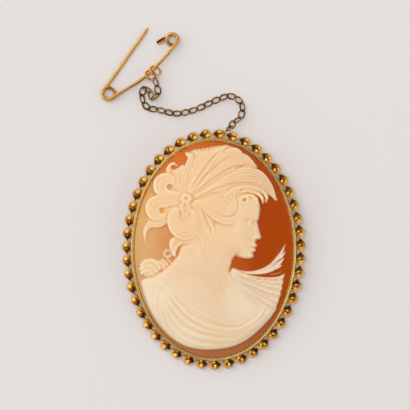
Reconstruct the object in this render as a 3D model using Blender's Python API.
"""Oval shell cameo brooch in a gold frame, with its safety chain and safety pin.

The brooch lies face up, as it would on a table: the foot of its frame and its back fittings touch the
table, so the oval leans by a few degrees. The chain and the open safety pin lie beside its head.
Units are metres, +Z is up, +Y points to the head of the oval. The origin is the middle of the whole
object's footprint, on the table.
"""

import math

import bmesh
import bpy
import numpy as np
from mathutils import Matrix, Vector

# Shell cameo
CAMEO_WIDTH = 0.0335
CAMEO_HEIGHT = 0.0453
CAMEO_RIM = 0.0015  # thickness at the rim
CAMEO_DOME = 0.0016  # rise of the ground from the rim to the middle
CAMEO_HOLLOW = 0.0008  # depth of the scooped back
CAMEO_MARGIN = 0.0008  # flat edge that the frame covers
RELIEF_RISE = 0.0017  # highest carving above the ground
CAMEO_COLUMNS = 40
CAMEO_ROWS = 54

# Bezel, the oval setting
CLEARANCE = 0.0001  # between the cameo and the metal round it
BEZEL_WALL = 0.0004
BEZEL_CHAMFER = 0.00015
SEAT_WIDTH = 0.0013  # ledge behind the cameo
SEAT_THICKNESS = 0.0004
LIP_REACH = 0.00035  # metal rubbed over the cameo's edge
LIP_THICKNESS = 0.0003
BEZEL_SEGMENTS = 80

# Twisted ribbon border
RIBBON_WIDTH = 0.0019
RIBBON_THICKNESS = 0.00042
LEAF_LENGTH = 0.00285  # half a turn, measured along the ribbon's middle
RIBBON_STEPS = 5  # sections in each leaf
RIBBON_BITE = 0.00015  # how far the solder runs the ribbon into the bezel
RIBBON_LIFT = 0.00005  # ribbon's lowest edge above the back of the bezel

# Back fittings
FITTING_OFFSET = 0.0039  # pin line above the middle of the oval
FITTING_DROP = 0.0019  # lowest metal behind the bezel's back
FITTING_BITE = 0.0002
FOOT_LENGTH = 0.0026
FOOT_THICKNESS = 0.0004
HINGE_EAR = 0.0005
HINGE_BARREL = 0.0010  # diameter of the stem's root
STEM_DIAMETER = 0.0007
STEM_TIP = 0.0045  # length of the taper
STEM_OVERHANG = 0.0005  # point beyond the border
FITTING_GAP = 0.0001
CATCH_WIDTH = 0.0014
CATCH_WALL = 0.0003
CATCH_START_DEG = 115.0
CATCH_END_DEG = 350.0

# Chain loop on the border, and the chain
LOOP_DIAMETER = 0.0010  # middle of the wire
LOOP_WIRE = 0.00028
LOOP_BITE = 0.00012
LOOP_NECK = 1  # ribbon neck, counted clockwise from the head
LINK_LENGTH = 0.00235
LINK_WIDTH = 0.00175
LINK_WIRE = 0.00027
LINK_SLACK = 0.00007  # free play at each crossing of two links
LINK_ROLLS_DEG = (-50.0, 38.0)  # odd and even links lean opposite ways
TABLE_PLAY = 0.00003  # below the lowest links
LINK_SEGMENTS = 12
WIRE_SIDES = 5

# Safety pin and the ring that holds it
SAFETY_WIRE = 0.00064
COIL_DIAMETER = 0.00255  # middle of the wire
HEAD_DIAMETER = 0.0023
COIL_PITCH = 0.00067  # rise of the wire in one turn
NEEDLE_LENGTH = 0.0163
NEEDLE_POINT = 0.0012
POINT_SHARE = 0.06  # radius of the very point, as a share of the wire's diameter
ARM_STEP = 0.0011  # spacing of the points that the fixed arm's curve is read at
TROUGH_NECK = 0.0006  # bare wire between the head's turn and the trough
TROUGH_LENGTH = 0.0021
TROUGH_WIDTH = 0.00105
TROUGH_WALL = 0.0002
TROUGH_TIP_DEG = 35.0  # lean of its mouth towards the needle
TROUGH_STANDS = 0.53  # height of its middle above the table, as a share of its width
SAFETY_SIDES = 8
RING_DIAMETER = 0.0023  # middle of the wire
RING_WIRE = 0.00032
RING_LEAN_DEG = 50.0
END_SHARE = 0.24  # place of the end ring on the arm's straight run after its bend
SPARE_SHARE = 0.50  # place of the spare ring
RING_PLAY = 0.00006  # between the ring and the pin's wire
RING_SEGMENTS = 16

# Places on the table, measured from the head of the border
COIL_CENTRE = (-0.02225, 0.00810)
NEEDLE_HEADING_DEG = 54.8
ARM_ROUTE = (  # the fixed arm, from the coil to the head
    (-0.01455, 0.01145),
    (-0.01306, 0.01288),
    (-0.01094, 0.01497),
    (-0.00940, 0.01670),
)
HEAD_CENTRE = (-0.00880, 0.01950)
HOOK_HEADING_DEG = 211.0
HOOK_BEND_DEG = 22.0  # kink between the head's turn and the trough
CHAIN_ROUTE = (  # x, y and height above the chain's usual level, from the brooch to the safety pin
    (0.00360, 0.00085, 0.0021),
    (0.00495, 0.00220, 0.0009),
    (0.00600, 0.00355, 0.0001),
    (0.00610, 0.00500, 0.0000),
    (0.00540, 0.00660, 0.0000),
    (0.00390, 0.00750, 0.0000),
    (0.00235, 0.00755, 0.0001),
    (0.00130, 0.00695, 0.0001),
    (-0.00020, 0.00640, 0.0000),
    (-0.00205, 0.00550, 0.0000),
    (-0.00375, 0.00475, 0.0000),
    (-0.00550, 0.00425, 0.0000),
    (-0.00740, 0.00385, 0.0000),
    (-0.00925, 0.00400, 0.0000),
    (-0.01095, 0.00455, 0.0000),
    (-0.01260, 0.00495, 0.0000),
    (-0.01400, 0.00500, 0.0000),
    (-0.01490, 0.00610, 0.0000),
    (-0.01540, 0.00800, 0.0001),
    (-0.01445, 0.00975, 0.0004),
    (-0.01345, 0.00865, 0.0009),
    (-0.01310, 0.00690, 0.0014),
    (-0.01200, 0.00680, 0.0012),
    (-0.01170, 0.00880, 0.0008),
)
DESCENT_STEP = 0.0002  # spacing of the points that the chain's curve is read at

# Carved masses, each a round-ended stroke from one place to another. Places and radii are shares of
# the cameo's half width (x, r) and half height (y); rises are shares of RELIEF_RISE.
MASSES = (
    # name, x0, y0, r0, rise0, x1, y1, r1, rise1
    ("chest", -0.42, -0.55, 0.52, 0.45, 0.22, -0.62, 0.62, 0.50),
    ("left shoulder", -0.62, -0.38, 0.28, 0.42, -0.15, -0.38, 0.34, 0.52),
    ("right shoulder", 0.42, -0.46, 0.44, 0.42, 0.62, -0.40, 0.26, 0.34),
    ("neck", -0.14, -0.32, 0.27, 0.55, -0.02, 0.10, 0.21, 0.66),
    ("jaw", 0.02, 0.14, 0.20, 0.74, 0.36, 0.06, 0.10, 0.70),
    ("cheek", 0.20, 0.22, 0.24, 0.84, 0.34, 0.30, 0.20, 0.80),
    ("brow", 0.34, 0.42, 0.20, 0.78, 0.44, 0.24, 0.12, 0.74),
    ("nose", 0.52, 0.28, 0.05, 0.62, 0.56, 0.17, 0.07, 0.60),
    ("lips", 0.44, 0.10, 0.07, 0.62, 0.40, 0.00, 0.08, 0.60),
    ("crown", -0.10, 0.46, 0.34, 0.95, 0.24, 0.52, 0.30, 0.92),
    ("hairline", 0.20, 0.46, 0.16, 0.94, 0.50, 0.54, 0.13, 0.80),
    ("knot", -0.36, 0.47, 0.11, 1.00, -0.33, 0.44, 0.10, 1.00),
    ("upper roll", -0.62, 0.56, 0.19, 0.85, -0.44, 0.60, 0.17, 0.80),
    ("middle roll", -0.72, 0.36, 0.16, 0.80, -0.50, 0.36, 0.17, 0.85),
    ("lower roll", -0.36, 0.28, 0.26, 0.92, -0.20, 0.22, 0.17, 0.84),
    ("side lock", -0.70, 0.28, 0.10, 0.60, -0.74, 0.12, 0.05, 0.45),
    ("nape lock", -0.22, 0.12, 0.12, 0.70, -0.46, 0.02, 0.08, 0.55),
    ("nape curl", -0.44, 0.02, 0.09, 0.55, -0.42, -0.08, 0.07, 0.50),
    ("shoulder curl", -0.76, -0.12, 0.14, 0.45, -0.58, -0.10, 0.09, 0.42),
    ("plume 1", -0.34, 0.48, 0.06, 0.85, -0.14, 0.82, 0.16, 0.62),
    ("plume 2", -0.32, 0.48, 0.06, 0.88, 0.08, 0.82, 0.17, 0.66),
    ("plume 3", -0.30, 0.47, 0.06, 0.92, 0.30, 0.76, 0.15, 0.72),
    ("plume 4", 0.10, 0.68, 0.12, 0.90, 0.56, 0.66, 0.11, 0.66),
    ("plume 5", 0.30, 0.62, 0.12, 0.90, 0.66, 0.52, 0.08, 0.55),
    ("plume tip", 0.60, 0.56, 0.09, 0.60, 0.74, 0.42, 0.04, 0.40),
    ("sleeve button", -0.60, -0.32, 0.09, 0.62, -0.60, -0.32, 0.09, 0.62),
    ("upper fold", -0.56, -0.36, 0.05, 0.60, -0.14, -0.68, 0.07, 0.60),
    ("front fold", -0.14, -0.68, 0.07, 0.60, 0.44, -0.68, 0.07, 0.58),
    ("side fold", 0.44, -0.68, 0.07, 0.58, 0.76, -0.42, 0.04, 0.46),
    ("wing tip", 0.34, -0.18, 0.04, 0.30, 0.84, 0.00, 0.04, 0.26),
    ("wing blade", 0.26, -0.22, 0.05, 0.34, 0.82, -0.22, 0.10, 0.34),
    ("wing foot", 0.36, -0.26, 0.05, 0.36, 0.76, -0.38, 0.09, 0.36),
)
BUST_SHARE = 0.93  # of the oval, past which the bust is cut off
ROUNDNESS = 0.4  # 0.5 is a half round stroke, less is squarer

# Finishes: colour, metallic, roughness
GOLD = ((0.80, 0.52, 0.17), 1.0, 0.28)
OLD_GOLD = ((0.52, 0.34, 0.13), 1.0, 0.38)
SHELL = ((0.86, 0.62, 0.42), 0.0, 0.30)

# Worked out from the sizes above
HALF_OVAL = np.array((CAMEO_WIDTH, CAMEO_HEIGHT)) / 2
CAMEO_BACK = SEAT_THICKNESS + CLEARANCE
CAMEO_RIM_TOP = CAMEO_BACK + CAMEO_RIM
BEZEL_OUT = CLEARANCE + BEZEL_WALL  # bezel's outside, measured out from the cameo's edge
LIP_BOTTOM = CAMEO_RIM_TOP + CLEARANCE
LIP_TOP = LIP_BOTTOM + LIP_THICKNESS
STEM_DROP = FITTING_DROP / 2 + FOOT_THICKNESS / 4  # stem's axis behind the bezel's back
RIBBON_OUT = BEZEL_OUT + RIBBON_WIDTH / 2 - RIBBON_BITE
RIBBON_LEVEL = RIBBON_LIFT + RIBBON_WIDTH / 2
BORDER_HEAD = HALF_OVAL[1] + RIBBON_OUT + RIBBON_WIDTH / 2
LINK_PITCH = LINK_LENGTH - 2 * LINK_WIRE - LINK_SLACK
LINK_REACH = (LINK_LENGTH - LINK_WIRE - LINK_PITCH) / 2  # link's end past the crossing, at its wire's middle
STEEPEST_ROLL = math.radians(max(abs(roll) for roll in LINK_ROLLS_DEG))
CHAIN_LEVEL = (LINK_WIDTH - LINK_WIRE) / 2 * math.sin(STEEPEST_ROLL) + LINK_WIRE / 2 + TABLE_PLAY


def clear_scene():
    for old in list(bpy.data.objects):
        bpy.data.objects.remove(old, do_unlink=True)


def finish(name, look):
    """Principled material from a colour, a metallic value and a roughness."""
    colour, metallic, roughness = look
    material = bpy.data.materials.new(name)
    material.use_nodes = True
    shader = material.node_tree.nodes["Principled BSDF"]
    shader.inputs["Base Color"].default_value = (*colour, 1.0)
    shader.inputs["Metallic"].default_value = metallic
    shader.inputs["Roughness"].default_value = roughness
    return material


def empty(name, parent=None):
    made = bpy.data.objects.new(name, None)
    bpy.context.collection.objects.link(made)
    made.parent = parent
    return made


def solid(name, points, faces, material=None, parent=None, smooth_deg=40.0):
    """Object from points and faces, with its faces turned outwards."""
    mesh = bpy.data.meshes.new(name)
    mesh.from_pydata([tuple(p) for p in points], [], [tuple(int(i) for i in f) for f in faces])
    shape = bmesh.new()
    shape.from_mesh(mesh)
    bmesh.ops.recalc_face_normals(shape, faces=shape.faces)
    shape.to_mesh(mesh)
    shape.free()
    mesh.shade_smooth()
    mesh.set_sharp_from_angle(angle=math.radians(smooth_deg))
    made = bpy.data.objects.new(name, mesh)
    bpy.context.collection.objects.link(made)
    made.parent = parent
    if material:
        mesh.materials.append(material)
    return made


def ring_faces(rows, columns, closed_rows=False, shift=0):
    """Quads between rows of points, each row a closed ring of that many columns.

    With closed_rows the last row joins the first, whose points it meets shift columns on."""
    faces = []
    for row in range(rows if closed_rows else rows - 1):
        turn = shift if row == rows - 1 else 0
        after = (row + 1) % rows
        for column in range(columns):
            beside = (column + 1) % columns
            faces.append(
                (
                    row * columns + column,
                    row * columns + beside,
                    after * columns + (beside + turn) % columns,
                    after * columns + (column + turn) % columns,
                )
            )
    return faces


def oval_point(angle, out=0.0):
    """Point of the cameo's outline at an angle of the ellipse, moved out by a distance."""
    half = HALF_OVAL + out
    return np.array((half[0] * math.cos(angle), half[1] * math.sin(angle), 0.0))


def oval_track(out, count, start_deg=-90.0, dense=4000):
    """Points, outward directions and headings at equal steps round the oval, counter-clockwise."""
    angles = math.radians(start_deg) + np.linspace(0, 2 * math.pi, dense + 1)
    half = HALF_OVAL + out
    path = np.c_[half[0] * np.cos(angles), half[1] * np.sin(angles)]
    run = np.r_[0, np.cumsum(np.linalg.norm(np.diff(path, axis=0), axis=1))]
    at = np.interp(np.arange(count) / count * run[-1], run, angles)
    points = np.c_[half[0] * np.cos(at), half[1] * np.sin(at), np.zeros(count)]
    heading = np.c_[-half[0] * np.sin(at), half[1] * np.cos(at), np.zeros(count)]
    heading /= np.linalg.norm(heading, axis=1)[:, None]
    outward = np.c_[heading[:, 1], -heading[:, 0], np.zeros(count)]
    return points, outward, heading


def swept_tube(points, radii, sides, closed=False):
    """Points and faces of a round wire along a path, with flat ends unless it is closed."""
    points = np.asarray(points, float)
    count = len(points)
    if closed:
        headings = np.roll(points, -1, axis=0) - np.roll(points, 1, axis=0)
    else:
        headings = np.gradient(points, axis=0)
    headings /= np.linalg.norm(headings, axis=1)[:, None]
    side = Vector(headings[0]).orthogonal().normalized()
    if closed:
        side = Vector(np.cross(headings[0], np.cross(points[0] - points[count // 2], headings[0])))
    radii = np.broadcast_to(radii, count)
    rings = []
    for point, heading_there, radius in zip(points, headings, radii.tolist()):
        across = Vector(heading_there)
        side = (side - across * side.dot(across)).normalized()
        other = across.cross(side)
        for corner in range(sides):
            angle = 2 * math.pi * corner / sides
            rings.append(Vector(point) + radius * (math.cos(angle) * side + math.sin(angle) * other))
    faces = ring_faces(count, sides, closed_rows=closed)
    if not closed:
        faces.append(tuple(range(sides)))
        faces.append(tuple(range((count - 1) * sides, count * sides)))
    return rings, faces


def smooth_curve(points, step):
    """Points at equal steps along a centripetal curve through the points given."""
    points = np.asarray(points, float)
    ends = np.vstack([2 * points[0] - points[1], points, 2 * points[-1] - points[-2]])
    shares = np.linspace(0, 1, 24, endpoint=False)[:, None]
    runs = []
    for a, b, c, d in zip(ends, ends[1:], ends[2:], ends[3:]):
        ab, bc, cd = (math.sqrt(np.linalg.norm(q - p)) for p, q in ((a, b), (b, c), (c, d)))
        leave = bc * ((b - a) / ab - (c - a) / (ab + bc) + (c - b) / bc)
        reach = bc * ((c - b) / bc - (d - b) / (bc + cd) + (d - c) / cd)
        t = shares
        runs.append(
            (2 * t**3 - 3 * t**2 + 1) * b
            + (t**3 - 2 * t**2 + t) * leave
            + (3 * t**2 - 2 * t**3) * c
            + (t**3 - t**2) * reach
        )
    path = np.vstack(runs + [points[-1:]])
    run = np.r_[0, np.cumsum(np.linalg.norm(np.diff(path, axis=0), axis=1))]
    at = np.linspace(0, run[-1], max(2, round(run[-1] / step) + 1))
    return np.c_[tuple(np.interp(at, run, path[:, axis]) for axis in range(3))]


def leaf_count():
    """Whole number of leaves that go round the border."""
    track, _, _ = oval_track(RIBBON_OUT, 400)
    return round(np.linalg.norm(track - np.roll(track, 1, axis=0), axis=1).sum() / LEAF_LENGTH)


def heading(degrees):
    return np.array((math.cos(math.radians(degrees)), math.sin(math.radians(degrees)), 0.0))


def fused(base, others, parent):
    """Joins the other objects' solids onto the base object's, removes them, and parents the result."""
    for other in others:
        join = base.modifiers.new(other.name, "BOOLEAN")
        join.operation = "UNION"
        join.solver = "EXACT"
        join.object = other
    bpy.context.view_layer.update()
    graph = bpy.context.evaluated_depsgraph_get()
    joined = bpy.data.meshes.new_from_object(base.evaluated_get(graph))
    base.modifiers.clear()
    base.data = joined
    for other in others:
        bpy.data.objects.remove(other, do_unlink=True)
    base.parent = parent
    return base


def ground_rise(x, y):
    """Height of the cameo's plain ground above its rim, at shares of the half width and height."""
    flat = 1 - CAMEO_MARGIN / HALF_OVAL[0]
    return CAMEO_DOME * np.clip(1 - (x**2 + y**2) / flat**2, 0, None)


def carved_rise(x, y):
    """Height of the carving above the ground, the highest of all the masses that cover a place."""
    long = HALF_OVAL[1] / HALF_OVAL[0]
    inside = np.hypot(x, y) < BUST_SHARE
    rise = np.zeros_like(x)
    for _, x0, y0, r0, rise0, x1, y1, r1, rise1 in MASSES:
        run = np.array((x1 - x0, (y1 - y0) * long))
        along = (x - x0) * run[0] + (y - y0) * long * run[1]
        share = np.clip(along / max(run @ run, 1e-9), 0, 1)
        away = np.hypot(x - x0 - share * run[0], (y - y0) * long - share * run[1])
        radius = r0 + share * (r1 - r0)
        round_top = np.clip(1 - (away / radius) ** 2, 0, None) ** ROUNDNESS
        rise = np.maximum(rise, round_top * (rise0 + share * (rise1 - rise0)))
    return RELIEF_RISE * rise * inside


def shell_cameo(material, parent):
    """Domed oval with its carved bust: one piece of shell, scooped at the back."""
    across, up = np.meshgrid(
        np.linspace(-1, 1, CAMEO_COLUMNS + 1), np.linspace(-1, 1, CAMEO_ROWS + 1)
    )
    x = across * np.sqrt(1 - up**2 / 2)
    y = up * np.sqrt(1 - across**2 / 2)
    z = CAMEO_RIM_TOP + ground_rise(x, y) + carved_rise(x, y)
    points = np.c_[(x * HALF_OVAL[0]).ravel(), (y * HALF_OVAL[1]).ravel(), z.ravel()]
    index = np.arange(points.shape[0]).reshape(x.shape)
    quads = np.stack([index[:-1, :-1], index[:-1, 1:], index[1:, 1:], index[1:, :-1]], -1)
    faces = [tuple(quad) for quad in quads.reshape(-1, 4)]
    edge = np.r_[index[0, :-1], index[:-1, -1], index[-1, :0:-1], index[:0:-1, 0]]
    rings = [edge]
    for share in (1.0, 0.72, 0.36):  # down the rim, then in across the scooped back
        ring = points[edge] * (share, share, 0)
        ring[:, 2] = CAMEO_BACK + CAMEO_HOLLOW * (1 - share**2)
        rings.append(np.arange(len(edge)) + len(points))
        points = np.vstack([points, ring])
    for upper, lower in zip(rings, rings[1:]):
        faces += zip(upper, np.roll(upper, -1), np.roll(lower, -1), lower)
    faces.append(tuple(rings[-1]))
    return solid("shell_cameo", points, faces, material, parent, smooth_deg=60.0)


def bezel(material):
    """Oval channel round the cameo: back ledge, wall and rubbed-over lip."""
    section = (
        (BEZEL_OUT, 0.0),
        (BEZEL_OUT, LIP_TOP - BEZEL_CHAMFER),
        (BEZEL_OUT - BEZEL_CHAMFER, LIP_TOP),
        (BEZEL_CHAMFER - LIP_REACH, LIP_TOP),
        (-LIP_REACH, LIP_BOTTOM),
        (CLEARANCE, LIP_BOTTOM),
        (CLEARANCE, SEAT_THICKNESS),
        (-SEAT_WIDTH, SEAT_THICKNESS),
        (-SEAT_WIDTH, 0.0),
    )
    points = []
    for step in range(BEZEL_SEGMENTS):
        angle = 2 * math.pi * step / BEZEL_SEGMENTS
        points += [oval_point(angle, out) + (0, 0, level) for out, level in section]
    faces = ring_faces(BEZEL_SEGMENTS, len(section), closed_rows=True)
    return solid("gold_frame", points, faces, material)


def twisted_border():
    """Flat ribbon wound round the bezel, turned over once for each leaf of the border."""
    leaves = leaf_count()
    count = leaves * RIBBON_STEPS
    track, outward, _ = oval_track(RIBBON_OUT, count)
    up = np.array((0.0, 0.0, 1.0))
    corners = ((1, 1), (-1, 1), (-1, -1), (1, -1))
    points = []
    for step in range(count):
        turn = math.pi * step / RIBBON_STEPS
        wide = math.cos(turn) * outward[step] + math.sin(turn) * up
        thick = math.cos(turn) * up - math.sin(turn) * outward[step]
        middle = track[step] + RIBBON_LEVEL * up
        for a, b in corners:
            points.append(middle + a * wide * RIBBON_WIDTH / 2 + b * thick * RIBBON_THICKNESS / 2)
    half_a_turn_on = len(corners) // 2 * (leaves % 2)
    faces = ring_faces(count, len(corners), closed_rows=True, shift=half_a_turn_on)
    return solid("border", points, faces)


def loop_place():
    """Middle of the chain loop and the direction in which it stands out, in the brooch's own frame."""
    leaves = leaf_count()
    halves, outward, _ = oval_track(RIBBON_OUT, 2 * leaves)
    neck = leaves - leaves % 2 + 1 - 2 * LOOP_NECK
    stand = RIBBON_THICKNESS / 2 + (LOOP_DIAMETER + LOOP_WIRE) / 2 - LOOP_BITE
    return halves[neck] + outward[neck] * stand + (0, 0, RIBBON_LEVEL), outward[neck]


def chain_loop():
    middle, outward = loop_place()
    beside = np.cross((0, 0, 1), outward)
    turns = 2 * math.pi * np.arange(RING_SEGMENTS) / RING_SEGMENTS
    path = middle + LOOP_DIAMETER / 2 * (np.outer(np.cos(turns), outward) + np.outer(np.sin(turns), beside))
    return solid("loop", *swept_tube(path, LOOP_WIRE / 2, WIRE_SIDES + 1, closed=True))


def block(name, low, high):
    points = [(x, y, z) for x in (low[0], high[0]) for y in (low[1], high[1]) for z in (low[2], high[2])]
    faces = ((0, 1, 3, 2), (4, 6, 7, 5), (0, 4, 5, 1), (2, 3, 7, 6), (0, 2, 6, 4), (1, 5, 7, 3))
    return solid(name, points, faces)


def seat_span():
    """Inner and outer x of the bezel's back ledge, at the height of the fittings on the oval."""
    slope = math.sqrt(1 - (FITTING_OFFSET / HALF_OVAL[1]) ** 2)
    return HALF_OVAL[0] * slope - SEAT_WIDTH, HALF_OVAL[0] * slope + CLEARANCE


def hinge():
    """Foot on the back ledge, with an ear on each side of the stem's root."""
    inner, outer = seat_span()
    low, high = FITTING_OFFSET - FOOT_LENGTH / 2, FITTING_OFFSET + FOOT_LENGTH / 2
    foot = block("foot", (-outer, low, -FOOT_THICKNESS), (-inner, high, FITTING_BITE))
    ears = [
        block("ear", (-outer, side, -FITTING_DROP), (-inner, side + HINGE_EAR, -FOOT_THICKNESS / 2))
        for side in (low, high - HINGE_EAR)
    ]
    return [foot, *ears]


def catch():
    """Foot on the back ledge, with a strip curled round the stem and open towards the head."""
    inner, outer = seat_span()
    left, right = outer - CATCH_WIDTH, outer
    radius = FITTING_DROP - STEM_DROP
    low = FITTING_OFFSET - FOOT_LENGTH / 2
    foot = block("foot", (left, low, -FOOT_THICKNESS), (right, FITTING_OFFSET, FITTING_BITE))
    hollow = radius - CATCH_WALL
    points = []
    turns = np.radians(np.linspace(CATCH_START_DEG, CATCH_END_DEG, 12))
    for turn in turns:
        for x, out in ((left, radius), (right, radius), (right, hollow), (left, hollow)):
            points.append((x, FITTING_OFFSET + out * math.cos(turn), out * math.sin(turn) - STEM_DROP))
    faces = ring_faces(len(turns), 4) + [(0, 1, 2, 3), tuple(range(len(points) - 4, len(points)))]
    return [foot, solid("curl", points, faces)]


def gold_frame(material, parent):
    """Bezel, border, chain loop, hinge and catch, soldered into one piece."""
    return fused(bezel(material), [twisted_border(), chain_loop(), *hinge(), *catch()], parent)


def pin_stem(material, parent):
    """Straight pin across the back, from its root between the hinge's ears to past the catch."""
    inner, outer = seat_span()
    root = (inner + outer) / 2
    border = HALF_OVAL + RIBBON_OUT + RIBBON_WIDTH / 2
    point = border[0] * math.sqrt(1 - (FITTING_OFFSET / border[1]) ** 2) + STEM_OVERHANG
    reach = FOOT_LENGTH / 2 - HINGE_EAR - FITTING_GAP
    barrel = solid(
        "barrel",
        *swept_tube([(-root, FITTING_OFFSET + side * reach, -STEM_DROP) for side in (-1, 1)],
                    HINGE_BARREL / 2, 12),
    )
    stations = ((-root, 1.0), (point - STEM_TIP, 1.0), (point - STEM_TIP / 2, 0.7), (point, 0.16))
    path = [(x, FITTING_OFFSET, -STEM_DROP) for x, _ in stations]
    stem = solid(
        "pin_stem", *swept_tube(path, [share * STEM_DIAMETER / 2 for _, share in stations], SAFETY_SIDES),
        material,
    )
    return fused(stem, [barrel], parent)


def lean_angle():
    """Lean at which the foot of the border and the lower edge of the hinge both touch the table."""
    edge = FITTING_OFFSET - FOOT_LENGTH / 2
    lever = HALF_OVAL[1] + RIBBON_OUT + edge
    return math.atan2(RIBBON_LIFT + FITTING_DROP, lever)


def brooch(table, gold, shell):
    lean = lean_angle()
    edge = FITTING_OFFSET - FOOT_LENGTH / 2
    oval = empty("brooch", table)
    oval.rotation_euler = (lean, 0, 0)
    oval.location = (0, 0, FITTING_DROP * math.cos(lean) - edge * math.sin(lean))
    shell_cameo(shell, oval)
    gold_frame(gold, oval)
    pin_stem(gold, oval)
    return oval


def wire_link(name, long, wide, wire, segments, sides, material, parent, place):
    """Closed oval of round wire in its own XY plane, long in X, set at a place."""
    turns = 2 * math.pi * np.arange(segments) / segments
    path = np.c_[long / 2 * np.cos(turns), wide / 2 * np.sin(turns), np.zeros(segments)]
    made = solid(name, *swept_tube(path, wire / 2, sides, closed=True), material, parent, smooth_deg=80.0)
    made.matrix_local = place
    return made


def ring_frame(share):
    """Middle of a ring on the arm's straight run, its direction away from the arm, and its third axis."""
    start, _, end = arm_points()[1:4]
    along = (end - start) / np.linalg.norm(end - start)
    away = np.cross(along, (0, 0, 1))
    away /= np.linalg.norm(away)
    offset = (RING_DIAMETER - RING_WIRE - SAFETY_WIRE) / 2 - RING_PLAY
    lean = math.radians(RING_LEAN_DEG)
    third = math.cos(lean) * np.cross(away, along) - math.sin(lean) * along
    return start + (end - start) * share + away * offset, away, third


def crossings(first, last):
    """Points where one link meets the next, a pitch apart along the chain's route."""
    route = [(x, y, CHAIN_LEVEL + rise) for x, y, rise in CHAIN_ROUTE]
    curve = smooth_curve([first, *route, last], DESCENT_STEP)
    count = round(DESCENT_STEP * (len(curve) - 1) / LINK_PITCH)
    found = [curve[0]]
    at = 0
    while len(found) < count and at < len(curve) - 1:
        at += 1
        if np.linalg.norm(curve[at] - found[-1]) >= LINK_PITCH:
            step = curve[at] - found[-1]
            found.append(found[-1] + step * LINK_PITCH / np.linalg.norm(step))
    gap = last - found[-1]
    spread = np.linspace(0, 1, len(found))[:, None]
    return np.array(found) + spread * (gap - gap / np.linalg.norm(gap) * LINK_PITCH), last


def chain(spread, old_gold, oval):
    """Links from the loop on the border to the ring on the safety pin, turned in twos against each other."""
    bpy.context.view_layer.update()
    middle, outward = loop_place()
    hold = Vector(middle + outward * (LOOP_DIAMETER / 2 - LINK_REACH))
    first = spread.matrix_world.inverted() @ oval.matrix_world @ hold
    ring, away, _ = ring_frame(END_SHARE)
    points, last = crossings(np.array(first), ring + away * (RING_DIAMETER / 2 - LINK_REACH))
    points = [Vector(p) for p in (*points, last)]
    for number, (start, end) in enumerate(zip(points, points[1:]), 1):
        along = (end - start).normalized()
        flat = Vector((0, 0, 1)).cross(along).normalized()
        roll = Matrix.Rotation(math.radians(LINK_ROLLS_DEG[(number + 1) % 2]), 3, along)
        across = roll @ flat
        turn = Matrix((along, across, along.cross(across))).transposed().to_4x4()
        wire_link(
            f"link_{number:02d}", LINK_LENGTH - LINK_WIRE, LINK_WIDTH - LINK_WIRE, LINK_WIRE,
            LINK_SEGMENTS, WIRE_SIDES, old_gold, spread, Matrix.Translation((start + end) / 2) @ turn,
        )


def turn_points(centre, diameter, start_deg, end_deg, level, climb):
    """Points of a round turn every 30 degrees or so, climbing by the coil's pitch in each whole turn."""
    count = max(2, round(abs(end_deg - start_deg) / 30) + 1)
    degrees = np.linspace(start_deg, end_deg, count)
    turns = np.radians(degrees)
    levels = level + climb * COIL_PITCH * (degrees - start_deg) / 360
    return np.c_[
        centre[0] + diameter / 2 * np.cos(turns), centre[1] + diameter / 2 * np.sin(turns), levels
    ]


def tangent_deg(centre, diameter, outside, side):
    """Angle on a round turn at which a straight run from it meets a point outside."""
    away = np.array(outside) - np.array(centre)
    share = min(1.0, diameter / 2 / np.linalg.norm(away))
    return math.degrees(math.atan2(away[1], away[0])) + side * math.degrees(math.acos(share))


def pin_coil():
    """The coil's turn and a half, from the needle's root up to the fixed arm."""
    leave = 720 + tangent_deg(COIL_CENTRE, COIL_DIAMETER, ARM_ROUTE[0], -1)
    return turn_points(COIL_CENTRE, COIL_DIAMETER, NEEDLE_HEADING_DEG + 90, leave, SAFETY_WIRE / 2, 1)


def pin_head():
    """The head's turn and a half, from the fixed arm down to the trough, which lies on the table."""
    start = tangent_deg(HEAD_CENTRE, HEAD_DIAMETER, ARM_ROUTE[-1], 1)
    end = 360 + HOOK_HEADING_DEG - 90 + HOOK_BEND_DEG
    level = TROUGH_WIDTH * TROUGH_STANDS + COIL_PITCH * (end - start) / 360
    return turn_points(HEAD_CENTRE, HEAD_DIAMETER, start, end, level, -1)


def arm_points():
    """Points of the fixed arm from the coil to the head, rising evenly from the one to the other."""
    first, last = pin_coil()[-1], pin_head()[0]
    plan = np.array([first[:2], *ARM_ROUTE, last[:2]])
    run = np.r_[0, np.cumsum(np.linalg.norm(np.diff(plan, axis=0), axis=1))]
    return np.c_[plan, first[2] + (last[2] - first[2]) * run / run[-1]]


def safety_wire():
    """Path and radii of the safety pin's one wire, from the needle's point to the trough."""
    coil, head = pin_coil(), pin_head()
    needle = [
        coil[0] + heading(NEEDLE_HEADING_DEG) * share
        for share in (NEEDLE_LENGTH, NEEDLE_LENGTH - NEEDLE_POINT, NEEDLE_LENGTH / 2)
    ]
    arm = smooth_curve(arm_points(), ARM_STEP)[1:-1]
    neck = head[-1] + heading(HOOK_HEADING_DEG) * TROUGH_NECK
    path = np.vstack([needle, coil, arm, head, [neck]])
    radii = np.full(len(path), SAFETY_WIRE / 2)
    radii[0] = SAFETY_WIRE * POINT_SHARE
    return path, radii


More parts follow.
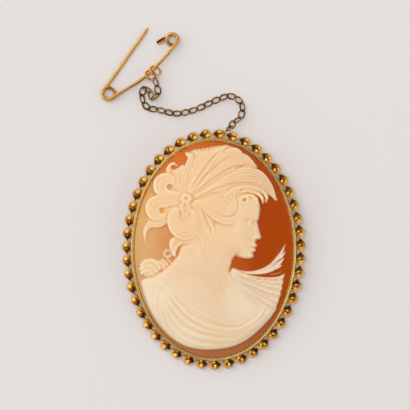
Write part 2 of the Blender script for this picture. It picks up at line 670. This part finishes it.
def trough(start):
    """Open channel that takes the needle's point, its mouth turned up towards the needle."""
    along = heading(HOOK_HEADING_DEG)
    tip = math.radians(TROUGH_TIP_DEG)
    mouth = math.cos(tip) * np.array((0, 0, 1.0)) + math.sin(tip) * heading(HOOK_HEADING_DEG - 90)
    beside = np.cross(along, mouth)
    half, deep, wall = TROUGH_WIDTH / 2, TROUGH_WIDTH * 0.45, TROUGH_WALL
    section = (
        (-half, deep), (-half, -deep * 0.4), (-half * 0.5, -deep), (half * 0.5, -deep),
        (half, -deep * 0.4), (half, deep), (half - wall, deep), (half - wall, -deep * 0.3),
        (half * 0.4, wall - deep), (-half * 0.4, wall - deep), (wall - half, -deep * 0.3),
        (wall - half, deep),
    )
    points = [
        start + along * reach + beside * side * grow + mouth * rise * grow
        for reach, grow in ((-TROUGH_WALL, 0.7), (TROUGH_LENGTH / 2, 1.0), (TROUGH_LENGTH, 0.8))
        for side, rise in section
    ]
    size = len(section)
    ends = [tuple(range(size)), tuple(range(2 * size, 3 * size))]
    return solid("trough", points, ring_faces(3, size) + ends)


def safety_pin(spread, gold):
    """One wire: needle, coil, fixed arm and head, with its end opened into a trough."""
    path, radii = safety_wire()
    wire = solid("safety_pin", *swept_tube(path, radii, SAFETY_SIDES), gold, smooth_deg=60.0)
    return fused(wire, [trough(path[-1])], spread)


def arm_ring(name, share, spread, gold):
    """Round ring that hangs on the safety pin's fixed arm."""
    middle, away, third = ring_frame(share)
    turn = Matrix((Vector(away), Vector(third), Vector(np.cross(away, third)))).transposed().to_4x4()
    wire_link(
        name, RING_DIAMETER, RING_DIAMETER, RING_WIRE, RING_SEGMENTS, WIRE_SIDES + 1, gold, spread,
        Matrix.Translation(Vector(middle)) @ turn,
    )


def stand_at_origin(table):
    """Moves the whole layout so that its footprint is centred on the origin and it stands on z = 0."""
    bpy.context.view_layer.update()
    shown = [o for o in bpy.context.scene.objects if o.type == "MESH"]
    corners = np.array([tuple(o.matrix_world @ v.co) for o in shown for v in o.data.vertices])
    low, high = corners.min(axis=0), corners.max(axis=0)
    table.location = (-(low[0] + high[0]) / 2, -(low[1] + high[1]) / 2, -low[2])
    bpy.context.view_layer.update()


def main():
    clear_scene()
    gold = finish("gold", GOLD)
    old_gold = finish("old gold", OLD_GOLD)
    shell = finish("shell", SHELL)
    table = empty("layout")
    oval = brooch(table, gold, shell)
    spread = empty("spread", table)
    spread.location = (0, BORDER_HEAD, 0)
    chain(spread, old_gold, oval)
    arm_ring("end_ring", END_SHARE, spread, gold)
    arm_ring("spare_ring", SPARE_SHARE, spread, gold)
    safety_pin(spread, gold)
    stand_at_origin(table)


main()
